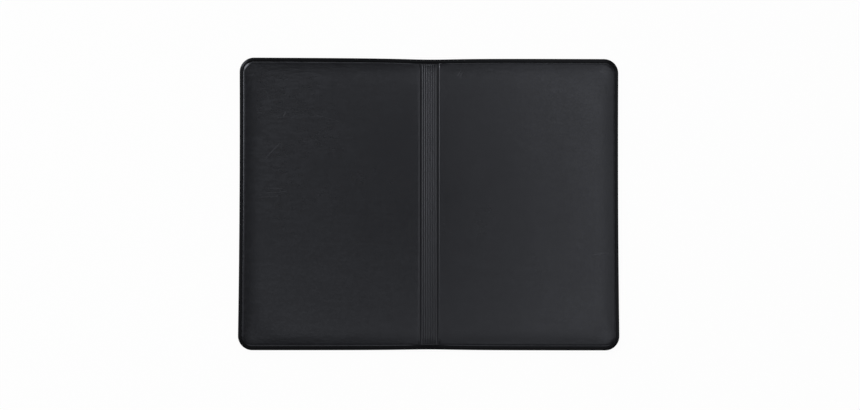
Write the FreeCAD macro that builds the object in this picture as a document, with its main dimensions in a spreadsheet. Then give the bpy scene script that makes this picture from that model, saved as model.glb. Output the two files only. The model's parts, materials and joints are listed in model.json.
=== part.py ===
import FreeCAD, Part
import math
import os
import Sketcher

# A folding case for two bank cards, made of welded PVC film, with a ribbed spine that rolls shut and
# a foil radio shield inside each cover. It lies open with its outer faces up: +X runs across both
# covers, +Y along the spine and +Z out of the outer faces. The origin is on the table, under the
# middle of the spine.

# Driving sizes in millimetres, and one count.
SIZES = {
    "case_height": 95.0,       # along the spine
    "panel_width": 59.0,       # from the outer edge of a leaf to its deep groove
    "corner_radius": 4.7,      # outer corners
    "pocket_film": 0.18,       # clear pocket
    "pocket_room": 1.25,       # depth of a card slot: an embossed card is 1.24 thick
    "lining_film": 0.15,
    "shield_foil": 0.12,
    "cover_film": 0.40,
    "web_film": 0.16,          # cover film where it is pressed thin, in the grooves
    "rim_width": 1.40,         # welded edge, from the outside to the foot of the panel
    "rim_thickness": 0.70,     # all the films fused together
    "bead_width": 0.90,        # rounded bead along the outside of the welded edge
    "bead_flank": 0.12,        # run of the bead's inner flank
    "ledge_width": 1.00,       # weld that reaches in under the panel
    "skirt_run": 2.00,         # slope of the pocket film between the edge and the flat pocket
    "crown_width": 5.50,       # border over which the panel swells
    "crown_drop": 0.16,        # swell of the panel over that border
    "crown_radius": 3.00,      # corners of the flat top
    "crown_lap": 0.30,         # swell beside the spine
    "weld_land": 1.50,         # weld of lining to cover beside the spine
    "shield_margin": 0.60,     # shield to the weld round it
    "mouth_setback": 3.00,     # pocket mouth to the deep groove
    "notch_radius": 9.00,      # thumb notch in the pocket mouth
    "notch_depth": 6.00,
    "notch_round": 1.50,
    "rib_count": 7,
    "rib_gap": 0.28,           # between the feet of two ribs
    "rib_height": 0.20,        # above the web
    "rib_margin": 1.80,        # end of a rib to the edge
    "groove_width": 0.75,      # deep groove, beside each panel
    "shut_gap": 0.25,          # between the two pockets when the case is shut
    "fold_gap": 0.06,          # between two links at a fold line
    "fit_gap": 0.05,           # between film edges of one leaf
}

# Heights above the table, and places across the spine, worked out from the driving sizes.
WORKED = {
    "lining_level": "Sizes.pocket_film + Sizes.pocket_room",
    "shield_level": "lining_level + Sizes.lining_film",
    "cover_level": "shield_level + Sizes.shield_foil",
    "top_level": "cover_level + Sizes.cover_film",
    "brim_level": "top_level - Sizes.crown_drop",
    "web_top": "cover_level + Sizes.web_film",
    "fold_level": "cover_level + Sizes.web_film / 2",
    "rim_base": "web_top - Sizes.rim_thickness",
    "bead_radius": "Sizes.rim_thickness / 2",
    # The spine is as wide as the two leaves need to lie face to face when every groove has turned
    # by the same angle and the case is shut.
    "groove_turn": "180 / (Sizes.rib_count + 1)",
    "end_extra": "(Sizes.groove_width - Sizes.rib_gap) / 2",
    "shut_span": "2 * fold_level + Sizes.shut_gap",
    "rib_pitch": "(shut_span - 2 * end_extra * sin(groove_turn)) * tan(groove_turn / 2)",
    "rib_width": "rib_pitch - Sizes.rib_gap",
    "spine_half": "Sizes.rib_count * rib_pitch / 2 + end_extra",
    "link_edge": "spine_half + Sizes.fold_gap / 2",
    "panel_edge": "spine_half + Sizes.groove_width / 2",
    "mouth_edge": "spine_half + Sizes.mouth_setback",
    "outer_edge": "spine_half + Sizes.panel_width",
    "half_height": "Sizes.case_height / 2",
    "skirt_foot": "Sizes.rim_width + Sizes.skirt_run",
    "ledge_edge": "Sizes.rim_width + Sizes.ledge_width",
    "lining_inset": "ledge_edge + Sizes.fit_gap",
    "shield_inset": "lining_inset + Sizes.shield_margin",
    "pocket_inset": "skirt_foot + Sizes.fit_gap",
    "crown_inset": "Sizes.rim_width + Sizes.crown_width",
    "notch_half": "sqrt(Sizes.notch_depth * (2 * Sizes.notch_radius - Sizes.notch_depth))",
}

LEFT = -1
RIGHT = 1
START, END, CENTRE = 1, 2, 3
ORIGIN = (-1, 1)
X_AXIS = -1
TOLERANCE = 1e-4

doc = FreeCAD.newDocument("card_case")


def sheet(name, entries, text):
    """Write one row per entry: its name, its value or formula, and an alias for the value."""
    table = doc.addObject("Spreadsheet::Sheet", name)
    for row, (alias, content) in enumerate(entries.items(), start=1):
        table.set(f"A{row}", alias)
        table.set(f"B{row}", text(content))
        table.setAlias(f"B{row}", alias)
    doc.recompute()
    return table


sizes = sheet("Sizes", SIZES, str)
worked = sheet("Worked", WORKED, lambda formula: "=" + formula)


def number(expression):
    return float(worked.evalExpression(expression))


def new_body(label):
    body = doc.addObject("PartDesign::Body", label)
    body.Label = label
    return body


def new_sketch(body, name, role, offset=None):
    """Attach a sketch to one of the body's own origin planes, moved along its normal by offset."""
    plane = next(item for item in body.Origin.OriginFeatures if item.Role == role)
    sketch = body.newObject("Sketcher::SketchObject", f"{body.Name}_{name}")
    sketch.AttachmentSupport = [(plane, "")]
    sketch.MapMode = "FlatFace"
    if offset:
        sketch.setExpression("AttachmentOffset.Base.z", offset)
    return sketch


def dimension(sketch, name, kind, where, expression):
    index = sketch.addConstraint(Sketcher.Constraint(kind, *where, number(expression)))
    sketch.renameConstraint(index, name)
    sketch.setExpression(f"Constraints.{name}", expression)


def place_x(sketch, name, side, point, expression):
    """Hold a point of the sketch at a distance from the middle line, on one side of it."""
    where = (*ORIGIN, *point) if side > 0 else (*point, *ORIGIN)
    dimension(sketch, name, "DistanceX", where, expression)


def place_y(sketch, name, side, point, expression):
    where = (*ORIGIN, *point) if side > 0 else (*point, *ORIGIN)
    dimension(sketch, name, "DistanceY", where, expression)


def line(sketch, start, end):
    return sketch.addGeometry(Part.LineSegment(FreeCAD.Vector(*start, 0), FreeCAD.Vector(*end, 0)))


def arc(sketch, centre, radius, first_degrees, last_degrees):
    circle = Part.Circle(FreeCAD.Vector(*centre, 0), FreeCAD.Vector(0, 0, 1), radius)
    turn = (math.radians(first_degrees), math.radians(last_degrees))
    return sketch.addGeometry(Part.ArcOfCircle(circle, *turn))


def join(sketch, kind, first, second):
    sketch.addConstraint(Sketcher.Constraint(kind, *first, *second))


def leaf_outline(sketch, side, inner, inset, radius, closed=True):
    """A leaf's outline, drawn in from the outer edge by inset, with its two outer corners rounded.
    Left open beside the spine, it is the path of the welded edge."""
    outer = f"Worked.outer_edge - {inset}"
    half = f"Worked.half_height - {inset}"
    x_inner, x_outer = side * number(inner), side * number(outer)
    y, r = number(half), number(radius)
    x_turn = x_outer - side * r

    top = line(sketch, (x_inner, y), (x_turn, y))
    top_corner = arc(sketch, (x_turn, y - r), r, *((0, 90) if side > 0 else (90, 180)))
    edge = line(sketch, (x_outer, y - r), (x_outer, r - y))
    low_corner = arc(sketch, (x_turn, r - y), r, *((270, 360) if side > 0 else (180, 270)))
    bottom = line(sketch, (x_turn, -y), (x_inner, -y))

    near, far = (END, START) if side > 0 else (START, END)
    join(sketch, "Tangent", (top, END), (top_corner, near))
    join(sketch, "Tangent", (top_corner, far), (edge, START))
    join(sketch, "Tangent", (edge, END), (low_corner, near))
    join(sketch, "Tangent", (low_corner, far), (bottom, START))
    sketch.addConstraint(Sketcher.Constraint("Horizontal", top))
    sketch.addConstraint(Sketcher.Constraint("Horizontal", bottom))
    sketch.addConstraint(Sketcher.Constraint("Equal", top_corner, low_corner))
    sketch.addConstraint(Sketcher.Constraint("Symmetric", edge, START, edge, END, X_AXIS))
    if closed:
        back = line(sketch, (x_inner, -y), (x_inner, y))
        join(sketch, "Coincident", (bottom, END), (back, START))
        join(sketch, "Coincident", (back, END), (top, START))
        sketch.addConstraint(Sketcher.Constraint("Vertical", back))
    else:
        place_x(sketch, "low_end", side, (bottom, END), inner)
    place_x(sketch, "inner", side, (top, START), inner)
    place_x(sketch, "outer", side, (edge, START), outer)
    place_y(sketch, "half", 1, (top, START), half)
    dimension(sketch, "corner", "Radius", (top_corner,), radius)
    return sketch


def rectangle(sketch, side, near, far, low, high):
    """A rectangle from near to far on one side of the middle, and from low to high. Any may be negative."""
    x = [side * number(near), side * number(far)]
    y = [number(low), number(high)]
    corners = [(x[0], y[0]), (x[1], y[0]), (x[1], y[1]), (x[0], y[1])]
    sides = [line(sketch, corners[k], corners[(k + 1) % 4]) for k in range(4)]
    for k in range(4):
        join(sketch, "Coincident", (sides[k], END), (sides[(k + 1) % 4], START))
        sketch.addConstraint(Sketcher.Constraint("Vertical" if k % 2 else "Horizontal", sides[k]))
    for name, point, expression, value in (("near", sides[0], near, x[0]), ("far", sides[1], far, x[1])):
        across = expression if value * side >= 0 else f"-({expression})"
        place_x(sketch, name, side if value * side >= 0 else -side, (point, START), across)
    for name, point, expression, value in (("low", sides[0], low, y[0]), ("high", sides[2], high, y[1])):
        up = expression if value >= 0 else f"-({expression})"
        place_y(sketch, name, 1 if value >= 0 else -1, (point, START), up)
    return sketch


def pad(body, name, sketch, length, symmetric=False):
    feature = body.newObject("PartDesign::Pad", f"{body.Name}_{name}")
    feature.Profile = sketch
    feature.setExpression("Length", length)
    if symmetric:
        feature.SideType = "Symmetric"
    return feature


def leaf_sheet(label, side, level, thickness, inner, inset, radius):
    """A flat film or foil of a leaf."""
    body = new_body(label)
    outline = new_sketch(body, "outline", "XY_Plane", level)
    leaf_outline(outline, side, inner, inset, radius)
    pad(body, "film", outline, thickness)
    return body


def cover(label, side):
    """Outer panel: a film that swells over its border, with a thin lip that runs to the fold line."""
    brim = "Sizes.corner_radius - Sizes.rim_width"
    body = leaf_sheet(label, side, "Worked.cover_level", "Sizes.cover_film - Sizes.crown_drop",
                      "Worked.panel_edge", "Sizes.rim_width", brim)
    foot = new_sketch(body, "swell_foot", "XY_Plane", "Worked.brim_level")
    leaf_outline(foot, side, "Worked.panel_edge", "Sizes.rim_width", brim)
    top = new_sketch(body, "swell_top", "XY_Plane", "Worked.top_level")
    leaf_outline(top, side, "Worked.panel_edge + Sizes.crown_lap", "Worked.crown_inset",
                 "Sizes.crown_radius")
    swell = body.newObject("PartDesign::AdditiveLoft", f"{label}_swell")
    swell.Profile = foot
    swell.Sections = [top]
    swell.Ruled = True
    lip = new_sketch(body, "lip_outline", "XY_Plane", "Worked.cover_level")
    run = "Worked.half_height - Sizes.rim_width"
    rectangle(lip, side, "Worked.link_edge", "Worked.panel_edge", f"-({run})", run)
    pad(body, "lip", lip, "Sizes.web_film")
    return body


def lining(label, side):
    """Flat film under the shield, with a raised land beside the spine where it meets the cover."""
    half = "Worked.half_height - Worked.lining_inset"
    body = leaf_sheet(label, side, "Worked.lining_level", "Sizes.lining_film", "Worked.panel_edge",
                      "Worked.lining_inset", "Sizes.corner_radius - Worked.lining_inset")
    land = new_sketch(body, "land_outline", "XY_Plane", "Worked.shield_level")
    rectangle(land, side, "Worked.panel_edge", "Worked.panel_edge + Sizes.weld_land",
              f"-({half})", half)
    pad(body, "land", land, "Sizes.shield_foil")
    return body


def shield(label, side):
    return leaf_sheet(label, side, "Worked.shield_level", "Sizes.shield_foil",
                      "Worked.panel_edge + Sizes.weld_land + Sizes.shield_margin",
                      "Worked.shield_inset", "Sizes.corner_radius - Worked.lining_inset")


def pocket(label, side):
    """Flat part of the clear pocket film, with a thumb notch in its mouth."""
    body = leaf_sheet(label, side, "0", "Sizes.pocket_film", "Worked.mouth_edge",
                      "Worked.pocket_inset", "Sizes.corner_radius - Worked.pocket_inset")
    disc = new_sketch(body, "notch_outline", "XY_Plane")
    centre = "Worked.mouth_edge + Sizes.notch_depth - Sizes.notch_radius"
    middle = side * number(centre)
    circle = disc.addGeometry(Part.Circle(FreeCAD.Vector(middle, 0, 0), FreeCAD.Vector(0, 0, 1),
                                          number("Sizes.notch_radius")))
    disc.addConstraint(Sketcher.Constraint("PointOnObject", circle, CENTRE, X_AXIS))
    if middle * side >= 0:
        place_x(disc, "centre", side, (circle, CENTRE), centre)
    else:
        place_x(disc, "centre", -side, (circle, CENTRE), f"-({centre})")
    dimension(disc, "radius", "Radius", (circle,), "Sizes.notch_radius")
    notch = body.newObject("PartDesign::Pocket", f"{label}_notch")
    notch.Profile = disc
    notch.Type = "ThroughAll"
    notch.SideType = "Symmetric"
    doc.recompute()

    mouth = side * number("Worked.mouth_edge")
    chord = number("Worked.notch_half")
    tips = []
    for index, edge in enumerate(notch.Shape.Edges, start=1):
        point = edge.CenterOfMass
        at_tip = abs(point.x - mouth) < TOLERANCE and abs(abs(point.y) - chord) < TOLERANCE
        if at_tip:
            tips.append(f"Edge{index}")
    rounds = body.newObject("PartDesign::Fillet", f"{label}_tips")
    rounds.Base = (notch, tips)
    rounds.setExpression("Radius", "Sizes.notch_round")
    return body


def edge_section(sketch):
    """Section of the welded edge, across its top run: a bead with a rounded outside, the groove at the
    panel's foot, the ledge under the panel, and the pocket film that slopes down to the table."""
    shape = (
        ("Worked.bead_radius", "Worked.web_top"),
        ("Sizes.bead_width - Sizes.bead_flank", "Worked.web_top"),
        ("Sizes.bead_width", "Worked.cover_level"),
        ("Worked.ledge_edge", "Worked.cover_level"),
        ("Worked.ledge_edge", "Worked.lining_level"),
        ("Sizes.rim_width", "Worked.rim_base + Sizes.pocket_film"),
        ("Worked.skirt_foot", "Sizes.pocket_film"),
        ("Worked.skirt_foot", "0"),
        ("Sizes.rim_width", "Worked.rim_base"),
        ("Worked.bead_radius", "Worked.rim_base"),
    )
    across = [f"Worked.half_height - ({depth})" for depth, level in shape]
    points = [(number(x), number(level)) for x, (depth, level) in zip(across, shape)]
    runs = [line(sketch, points[k], points[k + 1]) for k in range(len(points) - 1)]
    for first, second in zip(runs, runs[1:]):
        join(sketch, "Coincident", (first, END), (second, START))
    radius = number("Worked.bead_radius")
    nose = arc(sketch, (points[0][0], points[0][1] - radius), radius, -90, 90)
    join(sketch, "Tangent", (runs[-1], END), (nose, START))
    join(sketch, "Tangent", (nose, END), (runs[0], START))
    ends = [(run, START) for run in runs]
    for k, point in enumerate(ends[1:], start=1):
        place_x(sketch, f"across_{k}", 1, point, across[k])
        if shape[k][1] == "0":
            sketch.addConstraint(Sketcher.Constraint("PointOnObject", *point, X_AXIS))
        else:
            place_y(sketch, f"up_{k}", 1, point, shape[k][1])
    place_x(sketch, "nose_across", 1, (nose, CENTRE), across[0])
    sketch.addConstraint(Sketcher.Constraint("Horizontal", runs[0]))
    sketch.addConstraint(Sketcher.Constraint("Horizontal", runs[-1]))
    return sketch


def welded_edge(label, side):
    """The fused films round three sides of a leaf. The pocket film's slope stops at the pocket mouth."""
    body = new_body(label)
    path = new_sketch(body, "path", "XY_Plane")
    leaf_outline(path, side, "Worked.link_edge", "0", "Sizes.corner_radius", closed=False)
    section = new_sketch(body, "section", "YZ_Plane", f"{side} * Worked.link_edge")
    edge_section(section)
    doc.recompute()
    bead = body.newObject("PartDesign::AdditivePipe", f"{label}_bead")
    bead.Profile = section
    bead.Spine = path
    doc.recompute()
    whole = bead.Shape.Volume

    trim = new_sketch(body, "mouth_outline", "XY_Plane")
    rectangle(trim, side, "Worked.spine_half", "Worked.mouth_edge", "-Worked.half_height",
              "Worked.half_height")
    mouth = body.newObject("PartDesign::Pocket", f"{label}_mouth")
    mouth.Profile = trim
    mouth.Reversed = True
    mouth.setExpression("Length", "Worked.rim_base")
    doc.recompute()
    if not mouth.Shape.Volume < whole:
        raise RuntimeError(f"{label}: the pocket film isn't cut back at the mouth")
    return body


def spine_rib(label, number_along):
    """One link of the spine: a strip of thin web between two fold lines, with a rounded rib on it."""
    body = new_body(label)
    count = SIZES["rib_count"]
    middle = f"({number_along} - (Sizes.rib_count + 1) / 2) * Worked.rib_pitch"
    reach = "Worked.rib_pitch / 2 - Sizes.fold_gap / 2"
    left = f"{middle} - ({reach})" if number_along > 1 else "-Worked.link_edge + Sizes.fold_gap"
    right = f"{middle} + {reach}" if number_along < count else "Worked.link_edge - Sizes.fold_gap"
    web = new_sketch(body, "web_outline", "XZ_Plane")
    rectangle(web, RIGHT, left, right, "Worked.cover_level", "Worked.web_top")
    pad(body, "web", web, "Sizes.case_height", symmetric=True)

    bow = new_sketch(body, "rib_outline", "XZ_Plane")
    half, rise = number("Worked.rib_width") / 2, number("Sizes.rib_height")
    centre, foot = number(middle), number("Worked.web_top")
    radius = "(Worked.rib_width ^ 2 / 4 + Sizes.rib_height ^ 2) / (2 * Sizes.rib_height)"
    r = number(radius)
    swing = math.degrees(math.asin((r - rise) / r))
    base = line(bow, (centre - half, foot), (centre + half, foot))
    crest = arc(bow, (centre, foot + rise - r), r, swing, 180 - swing)
    join(bow, "Coincident", (base, END), (crest, START))
    join(bow, "Coincident", (crest, END), (base, START))
    bow.addConstraint(Sketcher.Constraint("Horizontal", base))
    place_y(bow, "foot", 1, (base, START), "Worked.web_top")
    for name, end, x in (("left", START, f"{middle} - Worked.rib_width / 2"),
                         ("right", END, f"{middle} + Worked.rib_width / 2")):
        sign = 1 if number(x) >= 0 else -1
        place_x(bow, name, sign, (base, end), x if sign > 0 else f"-({x})")
    dimension(bow, "crest", "Radius", (crest,), radius)
    pad(body, "rib", bow, "Sizes.case_height - 2 * Sizes.rib_margin", symmetric=True)
    return body


nodes = []
for side, leaf in ((LEFT, "left"), (RIGHT, "right")):
    nodes.append(cover(f"{leaf}_cover", side))
    nodes.append(shield(f"{leaf}_shield", side))
    nodes.append(lining(f"{leaf}_lining", side))
    nodes.append(pocket(f"{leaf}_pocket", side))
    nodes.append(welded_edge(f"{leaf}_welded_edge", side))
for place in range(1, SIZES["rib_count"] + 1):
    nodes.append(spine_rib(f"spine_rib_{place}", place))

doc.recompute()
for item in doc.Objects:
    if "Invalid" in item.State or "Error" in item.State:
        raise RuntimeError(f"{item.Label} failed: {item.State}")
for node in nodes:
    if node.Shape.isNull() or not node.Shape.isValid() or len(node.Shape.Solids) != 1:
        raise RuntimeError(f"{node.Label} isn't one valid solid")

os.makedirs("parts", exist_ok=True)
for node in nodes:
    node.Shape.exportStep(f"parts/{node.Label}.step")
    box = node.Shape.BoundBox
    print(f"{node.Label}: volume {node.Shape.Volume:.2f}, x {box.XMin:.3f} to {box.XMax:.3f}, "
          f"y {box.YMin:.3f} to {box.YMax:.3f}, z {box.ZMin:.3f} to {box.ZMax:.3f}")
for name in ("rib_pitch", "spine_half", "fold_level", "groove_turn", "end_extra"):
    print(name, round(worked.get(name), 5))
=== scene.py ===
import bmesh
import bpy
import json
import math
from mathutils import Matrix, Vector


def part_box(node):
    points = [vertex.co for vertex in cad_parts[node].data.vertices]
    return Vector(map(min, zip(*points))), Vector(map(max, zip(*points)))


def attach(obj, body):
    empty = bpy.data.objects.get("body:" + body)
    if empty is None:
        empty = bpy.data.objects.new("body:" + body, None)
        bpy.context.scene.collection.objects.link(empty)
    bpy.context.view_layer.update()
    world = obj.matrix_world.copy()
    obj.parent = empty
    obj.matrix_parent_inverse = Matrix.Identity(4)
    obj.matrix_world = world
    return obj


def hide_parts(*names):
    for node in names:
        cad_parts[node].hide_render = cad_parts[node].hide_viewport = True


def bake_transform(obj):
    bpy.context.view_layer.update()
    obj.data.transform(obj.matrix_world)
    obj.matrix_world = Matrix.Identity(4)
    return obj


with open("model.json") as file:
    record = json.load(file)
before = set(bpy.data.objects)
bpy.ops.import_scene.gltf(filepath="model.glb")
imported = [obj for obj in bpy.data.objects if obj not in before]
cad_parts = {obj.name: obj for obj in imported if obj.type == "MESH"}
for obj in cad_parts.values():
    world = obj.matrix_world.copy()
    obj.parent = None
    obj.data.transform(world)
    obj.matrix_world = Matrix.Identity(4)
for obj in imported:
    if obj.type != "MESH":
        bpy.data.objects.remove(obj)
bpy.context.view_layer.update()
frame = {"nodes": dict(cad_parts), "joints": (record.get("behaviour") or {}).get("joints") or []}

# A folding card case of welded PVC film, lying open with its outer faces up. Lengths are in
# millimetres: meshes are scaled to metres when they are finished.

MM = 0.001


def limits(node):
    """Lowest and highest corner of a solid."""
    low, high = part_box(node)
    return low / MM, high / MM


def ease(t):
    t = min(max(t, 0.0), 1.0)
    return t * t * (3 - 2 * t)


# Sizes of the solids

edge_high = limits("right_welded_edge")[1]
cover_low, cover_high = limits("right_cover")
lining_low = limits("right_lining")[0]
pocket_low, pocket_high = limits("right_pocket")

OUTER = edge_high.x                    # outer side of a leaf, from the middle of the spine
HALF = edge_high.y                     # half the height of the case
BEAD_TOP = edge_high.z                 # top of the welded edge
COVER_FOOT, COVER_TOP = cover_low.z, cover_high.z
RIM = OUTER - cover_high.x             # width of the welded edge
PANEL_EDGE = lining_low.x              # inner side of a cover panel, beside the spine
LINING_FOOT = lining_low.z
MOUTH = pocket_low.x                   # mouth of a card pocket
FILM = pocket_high.z                   # thickness of the pocket film
SKIRT_FOOT = OUTER - pocket_high.x     # where the pocket film lies flat, from the outer side

FOLDS = [joint["pos_m"][0] / MM for joint in frame["joints"]]
PITCH = FOLDS[2] - FOLDS[1]            # from one rib to the next
RIBS = len(FOLDS) - 1
CRESTS = [(k - RIBS // 2) * PITCH for k in range(RIBS)]

# Sizes of the finer forms

CORNER = 4.7                           # radius of a leaf's outer corners
DIP, DIP_SKEW = 0.36, 0.07             # how far the spine's ends are drawn in; the top end more so
DIP_REACH = 12.0                       # distance from the spine at which half of the dip is left
BOW = 0.25                             # how far the outer sides are drawn in at their middle

PANEL_SIDE = OUTER - 1.15              # outer side of a cover panel
PANEL_END = HALF - 1.35                # its top and bottom ends
PANEL_CORNER = 3.4                     # radius of its corners
PANEL_FOOT = COVER_FOOT - 0.10         # its foot, which is the floor of the groove round it
WALL = 0.04                            # least height of its upright edge
BRIM, SHOULDER = 0.20, 0.72            # height and width of its rounded shoulder
SHOULDER_CURVE = 1.6                   # power that rounds the shoulder
INNER_SHOULDER = 1.9                   # how much narrower the shoulder is beside the spine
CROWN = 6.5                            # border over which the panel swells
SINK, SINK_RUN = 0.08, 18              # how far its middle lies below its crown, and over what run
BLUNT = 3.0                            # how much the swell rounds off the corners
INNER_LEAD = 6                         # the swell is measured from this far past the inner side
CORNER_LEAD = 5                        # border within which the swell follows the panel's outline
SHOULDER_STEPS = (0.04, 0.06, 0.08, 0.10, 0.12, 0.14, 0.18, 0.3)
MARGIN, MARGIN_STEP, MIDDLE_STEP = 10, 0.8, 2.0     # finer mesh near the border than in the middle
CORNER_STEPS = 14                      # facets round a corner

BAND = 0.96                            # width of the welded band outside the groove
BAND_WALL = 0.06                       # run of its steep side in the groove
BAND_TOP = BEAD_TOP - 0.02
BAND_EDGE = BAND_TOP - 0.22            # it slopes down to the outer edge
RIM_BASE = BEAD_TOP - 0.70             # underside of the welded edge
UNDER_PANEL = RIM + 1.0                # where the weld ends under the panel, from the outer side
WELD_DROP = 0.09                       # how far the weld's inner foot lies below the lining
SECTION_ROUND = ((0.20, 5), (0.03, 4), (0.05, 4), (0.03, 3))    # radius and steps, corner by corner
BAND_LIP = 0.06                        # the band's finish reaches this far down into the groove
ROUNDING = 0.01                        # room for the groove's floor not being exact
BEAD_STEP, BEAD_SIDE_STEP = 2.0, 4.0   # mesh along its ends and along its outer side

NOTCH_DEPTH, NOTCH_RADIUS, NOTCH_STEPS = 6.0, 9.0, 28           # thumb notch in a pocket's mouth
SKIRT_STEPS = 8                        # facets round a corner of the pocket film

SPINE_FOOT = BAND_EDGE - 0.16          # underside of the spine
SEAM = HALF - PANEL_END                # where the groove inside the band ends, from the end
SEAM_WALL = 0.03                       # run of that groove's steep inner side
VALLEY = BEAD_TOP + 0.03               # level between two ribs, in the middle
ARCH = 0.014                           # the spine is arched a little
GROOVE, GROOVE_SIDE = COVER_FOOT + 0.04, 0.2        # level and side of the two deep grooves
RIB, RIB_ROUND = 0.165, 0.35           # height of a rib, and the rounded share of its section
RIB_END = 0.65                         # share of its height that is left at its end
RIB_FADE = 3.0                         # run over which it gets lower
RIB_START = 0.4                        # run over which it rises from the shoulder
SILL = 0.32                            # height of the shoulder at the spine's ends
SILL_SHADE = 0.6                        # run of the painted shade on it, at the top end
CREST_SIDE = 0.26                      # half the width of a rib's crest, which keeps the full shine; off it the spine takes painted shade
LAP = 0.04                             # how far the spine runs in under a panel
BEND, BEND_AT_LEAF = 0.14, 0.28        # half the width round a fold
SPINE_ACROSS, SPINE_ALONG = 20, 30     # mesh of a strip
SPINE_ROWS = (0.05, 0.4, 0.8, BAND, BAND + BAND_WALL, SEAM - SEAM_WALL, SEAM,
              1.42, 1.5, 1.58, 1.66, 1.74, 1.82, 1.9, 2.0, 2.2, 2.5, 2.9, 3.4, 4.0, 4.6, 5.2, 6.0)

# Finishes


class Value:
    """A node's output. Arithmetic on it adds Math nodes."""

    def __init__(self, finish, socket):
        self.finish = finish
        self.socket = socket

    def math(self, operation, first, second):
        return self.finish.add("Math", {"operation": operation}, {0: first, 1: second})

    def __add__(self, other):
        return self.math("ADD", self, other)

    def __sub__(self, other):
        return self.math("SUBTRACT", self, other)

    def __rsub__(self, other):
        return self.math("SUBTRACT", other, self)

    def __mul__(self, other):
        return self.math("MULTIPLY", self, other)

    def __abs__(self):
        return self.math("ABSOLUTE", self, 0.0)

    def least(self, other):
        return self.math("MINIMUM", self, other)


class Finish:
    """A material, or the world, and the one way in which nodes are added to it."""

    def __init__(self, owner):
        self.owner = owner
        owner.use_nodes = True
        self.tree = owner.node_tree
        self.tree.nodes.clear()

    def add(self, kind, settings=None, sockets=None, output=0):
        node = self.tree.nodes.new("ShaderNode" + kind)
        for name, setting in (settings or {}).items():
            setattr(node, name, setting)
        for name, content in (sockets or {}).items():
            if isinstance(content, Value):
                self.tree.links.new(content.socket, node.inputs[name])
            else:
                node.inputs[name].default_value = content
        return Value(self, node.outputs[output]) if node.outputs else None

    def vector(self, operation, first, second, output="Vector"):
        return self.add("VectorMath", {"operation": operation}, {0: first, 1: second}, output)

    def scaled(self, vector, factor):
        return self.add("VectorMath", {"operation": "SCALE"}, {"Vector": vector, "Scale": factor})

    def axis(self, place, name):
        return self.add("SeparateXYZ", None, {0: place}, name)

    def millimetres(self):
        return self.scaled(self.add("TexCoord", output="Object"), 1 / MM)

    def noise(self, place, scale, detail=2.0, output="Fac"):
        return self.add("TexNoise", None, {"Vector": place, "Scale": scale, "Detail": detail}, output)

    def ramp(self, value, low, high, to_low=0.0, to_high=1.0):
        sockets = {"Value": value, "From Min": low, "From Max": high,
                   "To Min": to_low, "To Max": to_high}
        return self.add("MapRange", {"interpolation_type": "SMOOTHSTEP"}, sockets)

    def bump(self, height, distance, strength=1.0):
        sockets = {"Strength": strength, "Distance": distance * MM, "Height": height}
        return self.add("Bump", None, sockets, "Normal")

    def colour(self, factor, first, second):
        return self.add("Mix", {"data_type": "RGBA"}, {0: factor, 6: first, 7: second}, output=2)

    def surface(self, shader):
        self.add("OutputMaterial", None, {"Surface": shader})
        return self.owner


def scratch(finish, place, start, end, width):
    """Share of a fine straight scratch, 1 on its line and fading towards its ends."""
    run = Vector(end) - Vector(start)
    way, length = run.normalized(), run.length
    from_start = finish.vector("SUBTRACT", place, (*start, 0))
    along = finish.vector("DOT_PRODUCT", from_start, (*way, 0), "Value")
    aside = finish.vector("DOT_PRODUCT", from_start, (-way.y, way.x, 0), "Value")
    line = finish.ramp(abs(aside), 0.0, width, 1.0, 0.0)
    return line * finish.ramp(abs(along - length / 2), length / 4, length / 2, 1.0, 0.0)


# Patterns in the film are drawn out along x where their first factor is small.
PEBBLE_DRAW, STREAK_DRAW, WRINKLE_DRAW = (0.60, 1.45, 1.0), (0.10, 0.80, 1.0), (0.28, 1.25, 1.0)
NOISE_MIDDLE = 0.5
WANDER, WANDER_SCALE = 1.2, 0.6                # how far the patterns wander
PATCH_SCALE, BROAD_SCALE = 0.05, 0.075         # patches of weaker grain, and the film's waves
PATCH_RANGE, PATCH_LEAST = (0.3, 0.7), 0.6     # least share of the grain in a weak patch
FLAT_BESIDE, SMOOTH_BESIDE = (0.2, 1.8), (0.5, 6.5)         # runs beside a weld
TINT_RANGE = (0.18, 0.62)
CREASE_WIDTH, FINE_SCALE = 0.40, 1.2           # both against the size of a pebble
FINE_HEIGHT, FINE_GLOSS = 0.5, 0.03
CREASE_GLOSS, CREASE_TINT = 0.03, 0.35
BROAD_GLOSS, PRESSED_GLOSS = 0.05, 0.04
STREAK_TINT = 0.5
WRINKLE_HEIGHT, WRINKLE_TINT, WRINKLE_GLOSS = 0.025, 2.4, -0.14
WORN_LEAST, WORN_MORE = 0.25, 0.75             # wrinkles everywhere, and more where the film is worn
WORN_ACROSS, WORN_ALONG = 40, 36               # runs over which the wear grows
GRAIN_DEPTH = 0.0035                           # depth of the covers' grain
COOL = (0.87, 0.90, 1.0, 1)                    # tint of the film's shine


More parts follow.
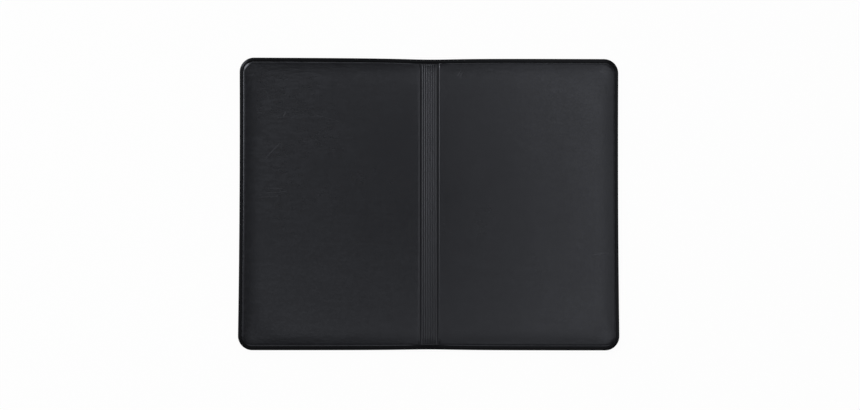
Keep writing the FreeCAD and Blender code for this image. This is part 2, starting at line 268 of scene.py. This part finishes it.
def pvc(name, dark, light, roughness, grain, depth, wave=0.0, pressed=None, wrinkled=None, shine=0.5,
        scratches=()):
    """Black PVC film with an embossed leather grain: pebbles parted by creases, deeper in some places
    than in others, on film that is a little wavy. Its colour is lighter on the pebbles and the
    wrinkles' crests and darker in the creases and the wrinkles' troughs, which paints the grain's
    highlights and shade into it; streaks vary its tone. The grain is pressed flat beside the lines in
    pressed: the inner side, the outer side and the ends. Wrinkles across the film grow stronger left
    of wrinkled's first place and above its second. Scratches are paler than the film."""
    finish = Finish(bpy.data.materials.new(name))
    place = finish.millimetres()
    wander = finish.noise(place, WANDER_SCALE, output="Color")
    bent = finish.vector("ADD", place, finish.scaled(wander, WANDER))
    pebbles = finish.vector("MULTIPLY", bent, PEBBLE_DRAW)
    gap = finish.add("TexVoronoi", {"feature": "DISTANCE_TO_EDGE"},
                     {"Vector": pebbles, "Scale": grain, "Randomness": 1.0}, "Distance")
    relief = finish.ramp(finish.noise(place, PATCH_SCALE), *PATCH_RANGE, to_low=PATCH_LEAST)
    if pressed:
        inner, outer, end = pressed
        across, along = abs(finish.axis(place, "X")), abs(finish.axis(place, "Y"))
        weld = (outer - across).least(end - along)
        relief = relief * finish.ramp(weld.least(across - inner), *FLAT_BESIDE)
        roughness = finish.ramp(weld, *SMOOTH_BESIDE, roughness - PRESSED_GLOSS, roughness)
    crease = (1 - finish.ramp(gap, 0.0, CREASE_WIDTH)) * relief
    fine = finish.noise(pebbles, FINE_SCALE * grain)
    broad = finish.noise(place, BROAD_SCALE, detail=1.5)
    streak = finish.noise(finish.vector("MULTIPLY", bent, STREAK_DRAW), 1.0)
    height = fine * relief * FINE_HEIGHT - crease + broad * (wave / depth)
    lines = (streak - NOISE_MIDDLE) * STREAK_TINT
    uneven = (fine - NOISE_MIDDLE) * FINE_GLOSS
    if wrinkled:
        right, foot = wrinkled
        leftwards = finish.ramp(finish.axis(place, "X"), right - WORN_ACROSS, right, WORN_MORE, 0.0)
        worn = leftwards * finish.ramp(finish.axis(place, "Y"), foot, foot + WORN_ALONG) + WORN_LEAST
        wrinkle = finish.noise(finish.vector("MULTIPLY", bent, WRINKLE_DRAW), 1.0)
        height = height + wrinkle * worn * (WRINKLE_HEIGHT / depth)
        lines = lines + (wrinkle - NOISE_MIDDLE) * worn * WRINKLE_TINT
        uneven = uneven + (wrinkle - NOISE_MIDDLE) * worn * WRINKLE_GLOSS
    normal = finish.bump(height, depth)
    speckle = (crease * CREASE_GLOSS + uneven) * min(depth / GRAIN_DEPTH, 1.0)
    gloss = speckle + (broad - NOISE_MIDDLE) * BROAD_GLOSS + roughness
    # Painted shade and highlights: the colour darkens in the creases and lightens on the pebbles and
    # the wrinkles' crests
    shade = finish.ramp(fine + lines - crease * CREASE_TINT, *TINT_RANGE)
    tint = finish.colour(shade, dark, light)
    for start, end, width, strength in scratches:
        tint = finish.colour(scratch(finish, place, start, end, width) * strength, tint, SCUFFED)
    shader = finish.add("BsdfPrincipled", None, {
        "Base Color": tint, "Roughness": gloss, "Normal": normal, "IOR": 1.5,
        "Specular IOR Level": shine, "Specular Tint": COOL})
    return finish.surface(shader)


def clear_film(name):
    """Clear glossy film, a little wavy and scuffed."""
    finish = Finish(bpy.data.materials.new(name))
    place = finish.millimetres()
    wave = finish.noise(place, scale=0.09)
    scuff = finish.noise(place, scale=1.3, detail=4.0)
    normal = finish.bump(wave, distance=0.12, strength=0.6)
    gloss = finish.ramp(scuff, 0.35, 0.75, to_low=0.04, to_high=0.16)
    shader = finish.add("BsdfPrincipled", None, {
        "Base Color": (0.93, 0.95, 0.96, 1), "Roughness": gloss, "Normal": normal, "IOR": 1.46,
        "Transmission Weight": 1.0})
    return finish.surface(shader)


def foil(name):
    """Thin aluminium, rolled along y and faintly crinkled."""
    finish = Finish(bpy.data.materials.new(name))
    place = finish.millimetres()
    crinkle = finish.noise(place, scale=0.35, detail=5.0)
    streak = finish.noise(finish.vector("MULTIPLY", place, (4.0, 0.08, 1.0)), scale=1.0)
    normal = finish.bump(crinkle, distance=0.08, strength=0.7)
    gloss = finish.ramp(streak, 0.3, 0.7, to_low=0.28, to_high=0.42)
    shader = finish.add("BsdfPrincipled", None, {
        "Base Color": (0.80, 0.81, 0.82, 1), "Roughness": gloss, "Normal": normal, "Metallic": 1.0})
    return finish.surface(shader)


TABLE_GLOW = 0.96                              # share of plain white in the table, as it is seen


def table_top(name):
    """White table, which keeps part of the shadow that falls on it."""
    finish = Finish(bpy.data.materials.new(name))
    paint = finish.add("BsdfDiffuse", None, {"Color": (0.95, 0.95, 0.95, 1)})
    glow = finish.add("Emission", None, {"Color": (1, 1, 1, 1), "Strength": 1.0})
    seen = finish.add("LightPath", output="Is Camera Ray")
    mirrored = finish.add("LightPath", output="Is Glossy Ray")
    through = finish.add("LightPath", output="Is Transmission Ray")
    share = (seen + mirrored + through).least(1.0) * TABLE_GLOW
    return finish.surface(finish.add("MixShader", None, {0: share, 1: paint, 2: glow}))


# Colours of the film, in its creases and on its pebbles; the darker crease colour is painted shade of
# the grain
BLACK_CREASE, BLACK = (0.0053, 0.0055, 0.0066, 1), (0.0108, 0.0114, 0.0134, 1)
BLACK_SPINE, BLACK_SPINE_PEBBLE = (0.0062, 0.0065, 0.0077, 1), (0.0078, 0.0082, 0.0095, 1)
# The welded band's colours are darker than those of the film it is made of: painted shade
BLACK_EDGE, BLACK_EDGE_PEBBLE = (0.0040, 0.0042, 0.0048, 1), (0.0052, 0.0054, 0.0061, 1)
BLACK_LINING, BLACK_LINING_PEBBLE = (0.012, 0.012, 0.014, 1), (0.015, 0.015, 0.017, 1)
SCUFFED = (0.045, 0.046, 0.052, 1)

# Start, end, width and strength of each scratch
SCRATCHES = (((-53.6, 14.2), (-47.9, 20.2), 0.30, 0.42),
             ((-55.5, 3.2), (-45.0, 3.9), 0.20, 0.45),
             ((-54.0, 5.0), (-46.5, 4.7), 0.18, 0.35),
             ((-56.0, 1.9), (-48.0, 2.3), 0.18, 0.35),
             ((-52.0, 27.2), (-38.0, 29.6), 0.20, 0.2),
             ((-38.5, 29.0), (-28.0, 26.6), 0.20, 0.18),
             ((-47.6, 28.0), (-46.6, 29.8), 0.35, 0.6),
             ((8.9, 41.2), (10.2, 43.4), 0.22, 0.7),
             ((9.8, 41.0), (10.9, 43.2), 0.20, 0.6),
             ((52.0, -16.6), (59.0, -15.8), 0.25, 0.3))
WRINKLED = (-6, -22)

cover_pvc = pvc("cover_grained_pvc", BLACK_CREASE, BLACK, roughness=0.23, grain=0.95,
                depth=GRAIN_DEPTH, wave=0.03, pressed=(PANEL_EDGE, PANEL_SIDE, PANEL_END),
                wrinkled=WRINKLED, scratches=SCRATCHES)
spine_pvc = pvc("spine_pressed_pvc", BLACK_SPINE, BLACK_SPINE_PEBBLE, roughness=0.26, grain=2.0,
                depth=0.0004)
# Painted shade on the spine's rib flanks, valleys, deep grooves and top end: a copy of the spine's
# film with half its shine
groove_shade_pvc = pvc("groove_painted_shade_pvc", BLACK_SPINE, BLACK_SPINE_PEBBLE, roughness=0.24, grain=2.0,
                 depth=0.0005, shine=0.25)
# Painted shade on the welded band: a darker, duller copy of the film, which stays dark under any lamp
edge_pvc = pvc("edge_band_painted_shade_pvc", BLACK_EDGE, BLACK_EDGE_PEBBLE, roughness=0.22, grain=2.0,
               depth=0.0005, shine=0.2)
# Painted shade in the groove inside the welded band: a darker copy of the film with hardly any shine
seam_shade_pvc = pvc("seam_painted_shade_pvc", BLACK_EDGE, BLACK_EDGE_PEBBLE, roughness=0.30, grain=2.0,
               depth=0.0005, shine=0.08)
lining_pvc = pvc("lining_smooth_pvc", BLACK_LINING, BLACK_LINING_PEBBLE, roughness=0.5, grain=2.5,
                 depth=0.003)
pocket_pvc = clear_film("pocket_clear_pvc")
shield_metal = foil("shield_foil")

# Pieces

SHARP = math.radians(40)               # edges that turn by more than this stay sharp
NEAR = 1e-3                            # a place this near to a line is on it
ON_PLANE, MERGE = 1e-5, 1e-4           # the same for a cut, and for points that become one


def lie(x, y):
    """The case is drawn in a little at both ends of its spine."""
    bell = 1 / (1 + (x / DIP_REACH) ** 2)
    return y * (1 - (DIP + DIP_SKEW * y / HALF) / HALF * bell)


def draw_in(x, y):
    """Each leaf's outer side is drawn in a little between its corners."""
    return x * (1 - BOW / OUTER * (1 - (y / HALF) ** 2) * min(abs(x) / OUTER, 1) ** 3)


def finished(bm, name, material):
    """Settle a mesh where the case lies, turn it to metres and make it an object."""
    for vert in bm.verts:
        x, y = vert.co.x, vert.co.y
        vert.co.x, vert.co.y = draw_in(x, y), lie(x, y)
    bmesh.ops.scale(bm, vec=(MM, MM, MM), verts=bm.verts)
    bmesh.ops.remove_doubles(bm, verts=bm.verts, dist=MERGE * MM)
    bmesh.ops.recalc_face_normals(bm, faces=bm.faces)
    for face in bm.faces:
        face.smooth = True
    for edge in bm.edges:
        edge.smooth = edge.is_manifold and edge.calc_face_angle(0.0) < SHARP
    mesh = bpy.data.meshes.new(name)
    bm.to_mesh(mesh)
    bm.free()
    piece = bpy.data.objects.new(name, mesh)
    bpy.context.collection.objects.link(piece)
    mesh.materials.append(material)
    return piece


def to_side(bm, side):
    """Pieces are shaped on the right: the left leaf takes the mirror image."""
    bmesh.ops.scale(bm, vec=(side, 1, 1), verts=bm.verts)


def only(kind, items):
    return [item for item in items if isinstance(item, kind)]


def round_off(bm, verts, radius, steps):
    """Round off corners of a flat outline."""
    bmesh.ops.bevel(bm, geom=verts, offset=radius, offset_type="OFFSET", affect="VERTICES",
                    segments=steps, profile=0.5, material=-1)


def cut(bm, axis, places):
    """Cut the whole mesh across an axis at each place."""
    normal = Vector((axis == "x", axis == "y", 0))
    for place in places:
        bmesh.ops.bisect_plane(bm, geom=bm.verts[:] + bm.edges[:] + bm.faces[:], dist=ON_PLANE,
                               plane_co=normal * place, plane_no=normal)


def spaced(low, high, step):
    """Places between two limits, about a step apart."""
    count = max(1, round((high - low) / step))
    return [low + (high - low) * k / count for k in range(1, count)]


def inset(x, y, side, end, corner):
    """Distance inwards from an outline with an outer side, two ends and rounded corners."""
    across, along = side - x, end - abs(y)
    if across < corner and along < corner:
        return corner - math.hypot(corner - across, corner - along)
    return min(across, along)


def shoulder(distance):
    """How much a rounded shoulder still lacks of its height, at a distance from its foot."""
    return (1 - min(max(distance / SHOULDER, 0), 1)) ** SHOULDER_CURVE


def panel_height(x, y):
    """Outer face of a cover panel: a rounded shoulder, then a swell that dies out inwards."""
    border = inset(x, y, PANEL_SIDE, PANEL_END, PANEL_CORNER)
    ways = (PANEL_SIDE - x, PANEL_END - abs(y), x - PANEL_EDGE + INNER_LEAD)
    blunted = -BLUNT * math.log(sum(math.exp(-way / BLUNT) for way in ways))
    soft = border + (blunted - border) * ease(border / CORNER_LEAD)
    swell = 1 - (1 - min(max(soft / CROWN, 0), 1)) ** 2
    full = BRIM + (COVER_TOP - PANEL_FOOT - BRIM) * swell - SINK * ease((soft - CROWN) / SINK_RUN)
    lacking = shoulder(min(border, INNER_SHOULDER * (x - PANEL_EDGE)))
    return PANEL_FOOT + full - (BRIM - WALL) * lacking


def cover_panel(side, leaf):
    """Outer panel of a leaf, in grained film."""
    bm = bmesh.new()
    right, top = PANEL_SIDE, PANEL_END
    corners = ((PANEL_EDGE, -top), (right, -top), (right, top), (PANEL_EDGE, top))
    verts = [bm.verts.new((x, y, PANEL_FOOT)) for x, y in corners]
    bm.faces.new(verts)
    round_off(bm, verts[1:3], PANEL_CORNER, CORNER_STEPS)
    grown = bmesh.ops.extrude_face_region(bm, geom=bm.faces[:])["geom"]
    bmesh.ops.translate(bm, vec=(0, 0, WALL), verts=only(bmesh.types.BMVert, grown))
    inner = only(bmesh.types.BMFace, grown)
    for step in SHOULDER_STEPS:
        bmesh.ops.inset_region(bm, faces=inner, thickness=step, use_even_offset=True)
    cut(bm, "x", spaced(PANEL_EDGE + MARGIN_STEP, right - MARGIN, MIDDLE_STEP)
        + spaced(right - MARGIN, right - MARGIN_STEP, MARGIN_STEP))
    for end in (-1, 1):
        cut(bm, "y", [end * place for place in spaced(top - MARGIN, top - MARGIN_STEP, MARGIN_STEP)])
    cut(bm, "y", spaced(MARGIN - top, top - MARGIN, MIDDLE_STEP) + [MARGIN - top, top - MARGIN])
    for vert in bm.verts:
        if vert.co.z > PANEL_FOOT + WALL / 2:
            vert.co.z = panel_height(vert.co.x, vert.co.y)
        elif vert.co.x < right - 1 and abs(vert.co.y) < top - 1:
            vert.co.z = COVER_FOOT
    to_side(bm, side)
    piece = finished(bm, f"{leaf}_cover_panel", cover_pvc)
    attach(piece, f"{leaf}_leaf")
    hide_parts(f"{leaf}_cover")


def sweep(bm, edges, centres, runs):
    """Carry a loop of edges along a run, round a corner, along the next run, and so on."""
    for run, centre in zip(runs, centres + [None]):
        grown = bmesh.ops.extrude_edge_only(bm, edges=edges)["geom"]
        verts = only(bmesh.types.BMVert, grown)
        bmesh.ops.translate(bm, vec=run, verts=verts)
        edges = [edge for edge in only(bmesh.types.BMEdge, grown)
                 if all(vert in verts for vert in edge.verts)]
        if centre:
            turned = bmesh.ops.spin(bm, geom=verts + edges, cent=centre, axis=(0, 0, -1),
                                    angle=math.pi / 2, steps=CORNER_STEPS)["geom_last"]
            edges = only(bmesh.types.BMEdge, turned)
    return edges


def edge_bead(side, leaf):
    """Welded edge round three sides of a leaf: a sloped band, the groove inside it, whose floor and
    the band's inner side take painted shade, and the weld under the panel."""
    bm = bmesh.new()
    section = ((0, RIM_BASE), (0, BAND_EDGE), (BAND, BAND_TOP), (BAND + BAND_WALL, PANEL_FOOT),
               (UNDER_PANEL, PANEL_FOOT), (UNDER_PANEL, LINING_FOOT), (RIM, LINING_FOOT - WELD_DROP),
               (RIM, RIM_BASE))
    verts = [bm.verts.new((PANEL_EDGE, HALF - depth, level)) for depth, level in section]
    bm.faces.new(verts)
    for vert, (radius, steps) in zip(verts, SECTION_ROUND):
        round_off(bm, [vert], radius, steps)
    first = list(bm.edges)
    bmesh.ops.delete(bm, geom=bm.faces[:], context="FACES_ONLY")
    x, y = OUTER - CORNER, HALF - CORNER
    last = sweep(bm, first, [(x, y, 0), (x, -y, 0)],
                 [(x - PANEL_EDGE, 0, 0), (0, -2 * y, 0), (PANEL_EDGE - x, 0, 0)])
    for loop in (first, last):
        bmesh.ops.edgeloop_fill(bm, edges=loop)
    cut(bm, "x", spaced(PANEL_EDGE, x, BEAD_STEP))
    cut(bm, "y", spaced(-y, y, BEAD_SIDE_STEP))
    # The groove's floor and the band's inner side below its lip take the painted shade
    for face in bm.faces:
        middle = face.calc_center_median()
        inside = inset(middle.x, middle.y, OUTER, HALF, CORNER) > BAND
        in_groove = PANEL_FOOT - ROUNDING < middle.z < BAND_TOP - BAND_LIP
        face.material_index = int(inside and in_groove)
    to_side(bm, side)
    piece = finished(bm, f"{leaf}_edge_bead", edge_pvc)
    piece.data.materials.append(seam_shade_pvc)
    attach(piece, f"{leaf}_leaf")
    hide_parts(f"{leaf}_welded_edge")


def pocket_film(side, leaf):
    """Clear pocket of a leaf: flat over the card, with a thumb notch in its mouth and a border that
    slopes up to the weld."""
    bm = bmesh.new()
    right, top, radius = OUTER - SKIRT_FOOT, HALF - SKIRT_FOOT, CORNER - SKIRT_FOOT
    tip = math.sqrt(NOTCH_DEPTH * (2 * NOTCH_RADIUS - NOTCH_DEPTH))
    middle = MOUTH + NOTCH_DEPTH - NOTCH_RADIUS
    verts = [bm.verts.new((x, y, 0)) for x, y in
             ((MOUTH, -tip), (MOUTH, -top), (right, -top), (right, top), (MOUTH, top), (MOUTH, tip))]
    for start, end in zip(verts, verts[1:]):
        bm.edges.new((start, end))
    half_turn = math.asin(tip / NOTCH_RADIUS)
    bmesh.ops.spin(bm, geom=[verts[0]], cent=(middle, 0, 0), axis=(0, 0, 1), angle=2 * half_turn,
                   steps=NOTCH_STEPS)
    bmesh.ops.remove_doubles(bm, verts=bm.verts, dist=MERGE)
    bmesh.ops.edgeloop_fill(bm, edges=bm.edges[:])
    round_off(bm, [vert for vert in bm.verts if vert.co.x > right - NEAR], radius, SKIRT_STEPS)
    border = [edge for edge in bm.edges if all(
        vert.co.x > right - radius - NEAR or abs(vert.co.y) > top - radius - NEAR
        for vert in edge.verts)]
    grown = bmesh.ops.extrude_edge_only(bm, edges=border)["geom"]
    for vert in only(bmesh.types.BMVert, grown):
        core = Vector((min(vert.co.x, right - radius),
                       min(max(vert.co.y, radius - top), top - radius), 0))
        out = (vert.co - core).normalized()
        vert.co += out * (SKIRT_FOOT - RIM) + Vector((0, 0, RIM_BASE))
    bmesh.ops.recalc_face_normals(bm, faces=bm.faces)
    up = sum(face.normal.z for face in bm.faces) > 0
    bmesh.ops.solidify(bm, geom=bm.faces[:], thickness=-FILM if up else FILM)
    to_side(bm, side)
    piece = finished(bm, f"{leaf}_pocket_film", pocket_pvc)
    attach(piece, f"{leaf}_leaf")
    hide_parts(f"{leaf}_pocket")


def off_crest(x):
    """Distance from the nearest rib's crest."""
    return min(abs(x - crest) for crest in CRESTS)


def spine_height(x, y):
    """Outer face of the spine: ribs between two deep grooves, then a shoulder, the groove inside the
    welded band and that band across both ends."""
    end = HALF - abs(y)
    inward = end - SEAM
    slack = min(off_crest(x) / (PITCH / 2), 1)
    rib = RIB_ROUND * math.cos(math.pi / 2 * slack) ** 2 + (1 - RIB_ROUND) * (1 - slack)
    valley = VALLEY - ARCH * x ** 2
    floor = valley + (GROOVE - valley) * ease((abs(x) - CRESTS[-1] - GROOVE_SIDE) / GROOVE_SIDE)
    sill = PANEL_FOOT + SILL - (SILL - WALL) * shoulder(inward)
    fade, start = ease(inward / RIB_FADE), ease(inward / RIB_START)
    base = sill + (floor - sill) * (fade if floor > sill else start)
    ribbed = base + (valley + RIB - floor) * rib * (RIB_END + (1 - RIB_END) * fade) * start
    groove = PANEL_FOOT + (ribbed - PANEL_FOOT) * ease((inward + SEAM_WALL) / SEAM_WALL)
    band = BAND_EDGE + (BAND_TOP - BAND_EDGE) * end / BAND
    return band + (groove - band) * ease((end - BAND) / BAND_WALL)


SPINE_FINISHES = (spine_pvc, edge_pvc, groove_shade_pvc, seam_shade_pvc)


def spine_finish(x, y):
    """The finish at a place on the spine: the welded band at each end, painted shade in the groove
    inside it, the full shine on the ribs' crests, and painted shade on their flanks, in the valleys
    and deep grooves and near the top end.
    """
    end = HALF - abs(y)
    if end < BAND:
        return edge_pvc
    if end < SEAM - SEAM_WALL:
        return seam_shade_pvc
    if off_crest(x) > CREST_SIDE or y > HALF - SEAM - SILL_SHADE:
        return groove_shade_pvc
    return spine_pvc


def spine_fold(number):
    """Strip of the spine from one rib's crest to the next."""
    bm = bmesh.new()
    left = CRESTS[number - 2] if number > 1 else -PANEL_EDGE - LAP
    right = CRESTS[number - 1] if number < len(FOLDS) else PANEL_EDGE + LAP
    place = Matrix.Translation(((left + right) / 2, 0, SPINE_FOOT))
    size = Matrix.Diagonal(((right - left) / 2, HALF, 1, 1))
    bmesh.ops.create_grid(bm, x_segments=SPINE_ACROSS, y_segments=SPINE_ALONG, size=1,
                          matrix=place @ size)
    for end in (-1, 1):
        cut(bm, "y", [end * (HALF - depth) for depth in SPINE_ROWS])
    grown = bmesh.ops.extrude_face_region(bm, geom=bm.faces[:])["geom"]
    for vert in only(bmesh.types.BMVert, grown):
        vert.co.z = spine_height(vert.co.x, vert.co.y)
    for face in bm.faces:
        middle = face.calc_center_median()
        face.material_index = SPINE_FINISHES.index(spine_finish(middle.x, middle.y))
    piece = finished(bm, f"spine_fold_{number}", spine_pvc)
    for material in SPINE_FINISHES[1:]:
        piece.data.materials.append(material)
    fold = FOLDS[number - 1]
    reach = BEND_AT_LEAF if number in (1, len(FOLDS)) else BEND
    (fold - reach) * MM
    (fold + reach) * MM
    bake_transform(piece)
    if number < len(FOLDS):
        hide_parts(f"spine_rib_{number}")


for side, leaf in ((-1, "left"), (1, "right")):
    cover_panel(side, leaf)
    edge_bead(side, leaf)
    pocket_film(side, leaf)
    for node, material in ((f"{leaf}_lining", lining_pvc), (f"{leaf}_shield", shield_metal)):
        mesh = frame["nodes"][node].data
        mesh.materials.clear()
        mesh.materials.append(material)
for number in range(1, len(FOLDS) + 1):
    spine_fold(number)

# Table, light and camera

TABLE_LEVEL = -0.02                    # a little below the case, so that no faces coincide
TABLE_HALF = 3                         # half its width, in metres
WORLD_STRENGTH = 0.13

bm = bmesh.new()
bmesh.ops.create_grid(bm, x_segments=1, y_segments=1, size=TABLE_HALF,
                      matrix=Matrix.Translation((0, 0, TABLE_LEVEL * MM)))
mesh = bpy.data.meshes.new("table_top")
bm.to_mesh(mesh)
bm.free()
table = bpy.data.objects.new("table_top", mesh)
bpy.context.collection.objects.link(table)
mesh.materials.append(table_top("table_white"))

scene = bpy.context.scene
scene.view_settings.view_transform = "Standard"
world = bpy.data.worlds.new("studio")
scene.world = world
air = Finish(world)
air.add("OutputWorld", None, {"Surface": air.add("Background", None, {
    "Color": (1, 1, 1, 1), "Strength": WORLD_STRENGTH})})


def facing(back):
    """Rotation of a light or camera that looks along -back with +Y up in its picture."""
    right = Vector((0, 1, 0)).cross(back).normalized()
    return Matrix((right, back.cross(right), back)).transposed().to_euler()


def softbox(name, tilt_x, tilt_y, distance, width, height, power):
    """An area light over the case, tilted from straight overhead by two angles in degrees. Its
    distance and size are in metres and its power is in watts."""
    light = bpy.data.lights.new(name, "AREA")
    light.shape = "RECTANGLE"
    light.size, light.size_y, light.energy = width, height, power
    lamp = bpy.data.objects.new(name, light)
    back = Vector((math.tan(math.radians(tilt_x)), math.tan(math.radians(tilt_y)), 1)).normalized()
    lamp.location = back * distance
    lamp.rotation_euler = facing(back)
    lamp.visible_camera = False
    bpy.context.collection.objects.link(lamp)


# Wide fills round the case, two keys for the light line on the left, low lamps for the shoulders, and
# strips that the covers mirror
softbox("fill_far", 0, 66, 1.0, 1.0, 0.4, 2.0)
softbox("fill_near", 0, -57, 1.0, 1.0, 0.4, 1.3)
softbox("fill_left", -66, 0, 1.0, 0.4, 1.0, 1.7)
softbox("fill_right", 66, 0, 1.0, 0.4, 1.0, 1.7)
softbox("key_corner", -38, 36, 0.9, 0.34, 0.34, 2.2)
softbox("key_left", -53, 14, 0.9, 0.16, 0.16, 0.34)
softbox("low_left", -36, 4, 0.7, 0.24, 0.26, 0.06)
softbox("low_right", 30.5, 4, 0.7, 0.31, 0.26, 0.135)
softbox("low_top", 10, 29, 0.7, 0.16, 0.27, 0.078)
softbox("low_bottom", 8, -17, 0.7, 0.16, 0.18, 0.043)
softbox("strip_left", -9, 3, 0.67, 0.08, 0.20, 0.0305)
softbox("strip_right", 10, 3, 0.67, 0.05, 0.16, 0.031)
softbox("strip_far_right", 14, 3, 0.67, 0.08, 0.22, 0.049)
softbox("strip_top_left", -4, 13, 0.67, 0.12, 0.05, 0.023)
softbox("strip_top_right", 9, 13, 0.67, 0.12, 0.08, 0.048)
softbox("strip_bottom_left", -4, -5.8, 0.67, 0.12, 0.08, 0.028)
softbox("strip_bottom_right", 9, -5.5, 0.67, 0.12, 0.05, 0.030)

CAMERA_BACK = Vector((-0.0246, -0.0575, 1)).normalized()
CAMERA_AIM = Vector((0.23 * MM, -0.44 * MM, 2 * MM))
CAMERA_DISTANCE = 0.6589               # in metres
CAMERA_ROLL = 0.06                     # in degrees

lens = bpy.data.cameras.new("camera")
lens.lens, lens.sensor_width = 85, 36
lens.clip_start, lens.clip_end = 0.01, 20
camera = bpy.data.objects.new("camera", lens)
camera.location = CAMERA_AIM + CAMERA_BACK * CAMERA_DISTANCE
camera.rotation_euler = facing(CAMERA_BACK)
camera.rotation_euler.rotate_axis("Z", math.radians(CAMERA_ROLL))
bpy.context.collection.objects.link(camera)
scene.camera = camera
